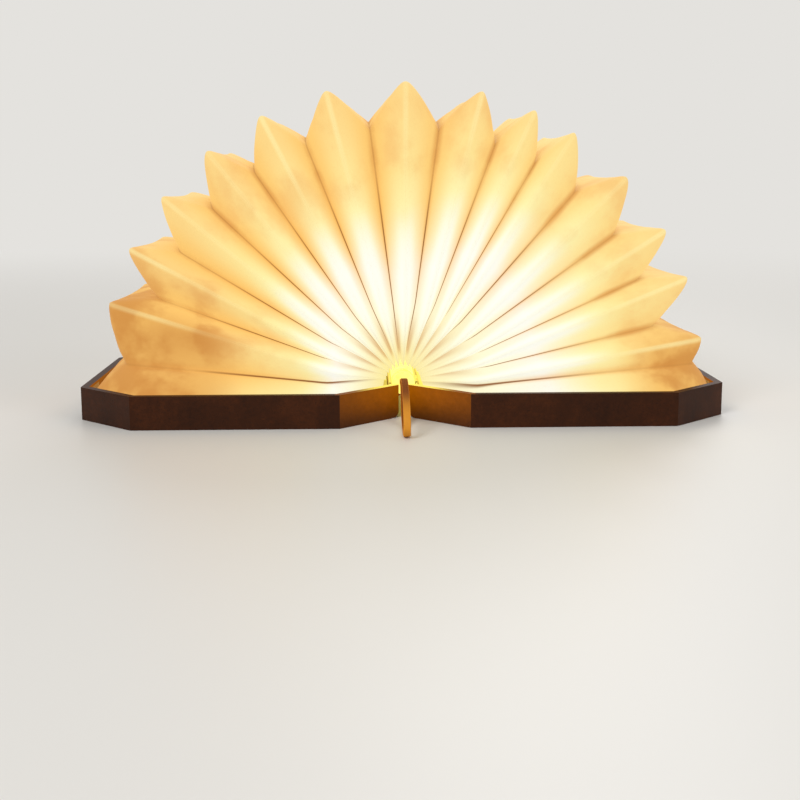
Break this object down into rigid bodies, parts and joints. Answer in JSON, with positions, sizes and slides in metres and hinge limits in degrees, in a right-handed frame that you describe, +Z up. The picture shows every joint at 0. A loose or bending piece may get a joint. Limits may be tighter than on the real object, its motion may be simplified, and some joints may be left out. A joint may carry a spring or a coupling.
{
  "type": "folding book lamp",
  "caption": "Octagonal wooden lamp that opens like a book: tray covers hinged on a lit spine bar, with a pleated paper shade fanned between them and a leather strap.",
  "frame": {"origin": "on the table, midway along the spine under the hinge line, lamp open flat", "axes": "+X towards the right cover's outer edge, +Y along the spine away from the strap, +Z up"},
  "size_m": [0.244, 0.1426, 0.1252],
  "materials": {
    "walnut": "oiled open grain",
    "end_card": "matt card",
    "shade_paper": "thin fibrous sheet lit from inside",
    "opal": "translucent opal",
    "heat_sink": "extruded",
    "circuit": "green solder mask",
    "circuit_white": "white solder mask",
    "diode": "phosphor",
    "hinge_steel": "brushed",
    "socket_steel": "drawn shell",
    "anchor_brass": "plain",
    "strap_leather": "oiled edges",
    "battery_foil": "pouch foil",
    "lead_jacket": "two cores side by side",
    "chip_black": "moulded",
    "standoff": "moulded",
    "reed_glass": "clear capsule",
    "magnet": "nickel plated"
  },
  "bodies": {
    "left_half": {"left_cover": "walnut", "left_end_board": "end_card", "diffuser_tube": "opal", "bar_heat_sink": "heat_sink", "led_board": "circuit_white", "led_packages": "diode", "front_end_cap": "opal", "rear_end_cap": "opal", "strap_anchor": "anchor_brass", "carry_strap": "strap_leather", "left_front_hinge_leaf": "hinge_steel", "left_rear_hinge_leaf": "hinge_steel", "left_hinge_screws": "hinge_steel", "battery_cell": "battery_foil", "battery_lead": "lead_jacket", "control_board": "circuit", "control_parts": "chip_black", "control_standoffs": "standoff", "charging_socket": "socket_steel", "reed_switch": "reed_glass", "bar_lead": "lead_jacket", "left_latch_magnets": "magnet"},
    "right_half": {"right_cover": "walnut", "right_end_board": "end_card", "right_front_hinge_leaf": "hinge_steel", "right_rear_hinge_leaf": "hinge_steel", "right_hinge_screws": "hinge_steel", "switch_magnet": "magnet", "right_latch_magnets": "magnet", "shade_pleat_15": "shade_paper"},
    "shade_fold_01": {"shade_pleat_01": "shade_paper"},
    "shade_fold_02": {"shade_pleat_02": "shade_paper"},
    "shade_fold_03": {"shade_pleat_03": "shade_paper"},
    "shade_fold_04": {"shade_pleat_04": "shade_paper"},
    "shade_fold_05": {"shade_pleat_05": "shade_paper"},
    "shade_fold_06": {"shade_pleat_06": "shade_paper"},
    "shade_fold_07": {"shade_pleat_07": "shade_paper"},
    "shade_fold_08": {"shade_pleat_08": "shade_paper"},
    "shade_fold_09": {"shade_pleat_09": "shade_paper"},
    "shade_fold_10": {"shade_pleat_10": "shade_paper"},
    "shade_fold_11": {"shade_pleat_11": "shade_paper"},
    "shade_fold_12": {"shade_pleat_12": "shade_paper"},
    "shade_fold_13": {"shade_pleat_13": "shade_paper"},
    "shade_fold_14": {"shade_pleat_14": "shade_paper"}
  },
  "joints": [
    {"name": "cover_fold", "type": "hinge", "parent": "left_half", "child": "right_half", "pos_m": [0, 0, 0.0127], "axis": [0, -1, 0], "range_deg": [0, 180], "deforming": ["shade_pleat_15"]},
    {"name": "shade_fold_01_turn", "type": "hinge", "parent": "left_half", "child": "shade_fold_01", "pos_m": [0, 0, 0.0127], "axis": [0, -1, 0], "range_deg": [-1, 18.04], "deforming": ["shade_pleat_01"]},
    {"name": "shade_fold_02_turn", "type": "hinge", "parent": "shade_fold_01", "child": "shade_fold_02", "pos_m": [0, 0, 0.0127], "axis": [0, -1, 0], "range_deg": [-1, 11.84], "deforming": ["shade_pleat_02"]},
    {"name": "shade_fold_03_turn", "type": "hinge", "parent": "shade_fold_02", "child": "shade_fold_03", "pos_m": [0, 0, 0.0127], "axis": [0, -1, 0], "range_deg": [-1, 12.34], "deforming": ["shade_pleat_03"]},
    {"name": "shade_fold_04_turn", "type": "hinge", "parent": "shade_fold_03", "child": "shade_fold_04", "pos_m": [0, 0, 0.0127], "axis": [0, -1, 0], "range_deg": [-1, 12.84], "deforming": ["shade_pleat_04"]},
    {"name": "shade_fold_05_turn", "type": "hinge", "parent": "shade_fold_04", "child": "shade_fold_05", "pos_m": [0, 0, 0.0127], "axis": [0, -1, 0], "range_deg": [-1, 12.84], "deforming": ["shade_pleat_05"]},
    {"name": "shade_fold_06_turn", "type": "hinge", "parent": "shade_fold_05", "child": "shade_fold_06", "pos_m": [0, 0, 0.0127], "axis": [0, -1, 0], "range_deg": [-1, 13.84], "deforming": ["shade_pleat_06"]},
    {"name": "shade_fold_07_turn", "type": "hinge", "parent": "shade_fold_06", "child": "shade_fold_07", "pos_m": [0, 0, 0.0127], "axis": [0, -1, 0], "range_deg": [-1, 15.84], "deforming": ["shade_pleat_07"]},
    {"name": "shade_fold_08_turn", "type": "hinge", "parent": "shade_fold_07", "child": "shade_fold_08", "pos_m": [0, 0, 0.0127], "axis": [0, -1, 0], "range_deg": [-1, 15.34], "deforming": ["shade_pleat_08"]},
    {"name": "shade_fold_09_turn", "type": "hinge", "parent": "shade_fold_08", "child": "shade_fold_09", "pos_m": [0, 0, 0.0127], "axis": [0, -1, 0], "range_deg": [-1, 11.34], "deforming": ["shade_pleat_09"]},
    {"name": "shade_fold_10_turn", "type": "hinge", "parent": "shade_fold_09", "child": "shade_fold_10", "pos_m": [0, 0, 0.0127], "axis": [0, -1, 0], "range_deg": [-1, 9.34], "deforming": ["shade_pleat_10"]},
    {"name": "shade_fold_11_turn", "type": "hinge", "parent": "shade_fold_10", "child": "shade_fold_11", "pos_m": [0, 0, 0.0127], "axis": [0, -1, 0], "range_deg": [-1, 13.84], "deforming": ["shade_pleat_11"]},
    {"name": "shade_fold_12_turn", "type": "hinge", "parent": "shade_fold_11", "child": "shade_fold_12", "pos_m": [0, 0, 0.0127], "axis": [0, -1, 0], "range_deg": [-1, 13.34], "deforming": ["shade_pleat_12"]},
    {"name": "shade_fold_13_turn", "type": "hinge", "parent": "shade_fold_12", "child": "shade_fold_13", "pos_m": [0, 0, 0.0127], "axis": [0, -1, 0], "range_deg": [-1, 10.84], "deforming": ["shade_pleat_13"]},
    {"name": "shade_fold_14_turn", "type": "hinge", "parent": "shade_fold_13", "child": "shade_fold_14", "pos_m": [0, 0, 0.0127], "axis": [0, -1, 0], "range_deg": [-1, 12.84], "deforming": ["shade_pleat_14"]}
  ],
  "couplings": [
    {"joint": "shade_fold_01_turn", "follows": "cover_fold", "ratio": 0.094667},
    {"joint": "shade_fold_02_turn", "follows": "cover_fold", "ratio": 0.060222},
    {"joint": "shade_fold_03_turn", "follows": "cover_fold", "ratio": 0.063},
    {"joint": "shade_fold_04_turn", "follows": "cover_fold", "ratio": 0.065778},
    {"joint": "shade_fold_05_turn", "follows": "cover_fold", "ratio": 0.065778},
    {"joint": "shade_fold_06_turn", "follows": "cover_fold", "ratio": 0.071333},
    {"joint": "shade_fold_07_turn", "follows": "cover_fold", "ratio": 0.082444},
    {"joint": "shade_fold_08_turn", "follows": "cover_fold", "ratio": 0.079667},
    {"joint": "shade_fold_09_turn", "follows": "cover_fold", "ratio": 0.057444},
    {"joint": "shade_fold_10_turn", "follows": "cover_fold", "ratio": 0.046333},
    {"joint": "shade_fold_11_turn", "follows": "cover_fold", "ratio": 0.071333},
    {"joint": "shade_fold_12_turn", "follows": "cover_fold", "ratio": 0.068556},
    {"joint": "shade_fold_13_turn", "follows": "cover_fold", "ratio": 0.054667},
    {"joint": "shade_fold_14_turn", "follows": "cover_fold", "ratio": 0.065778}
  ]
}
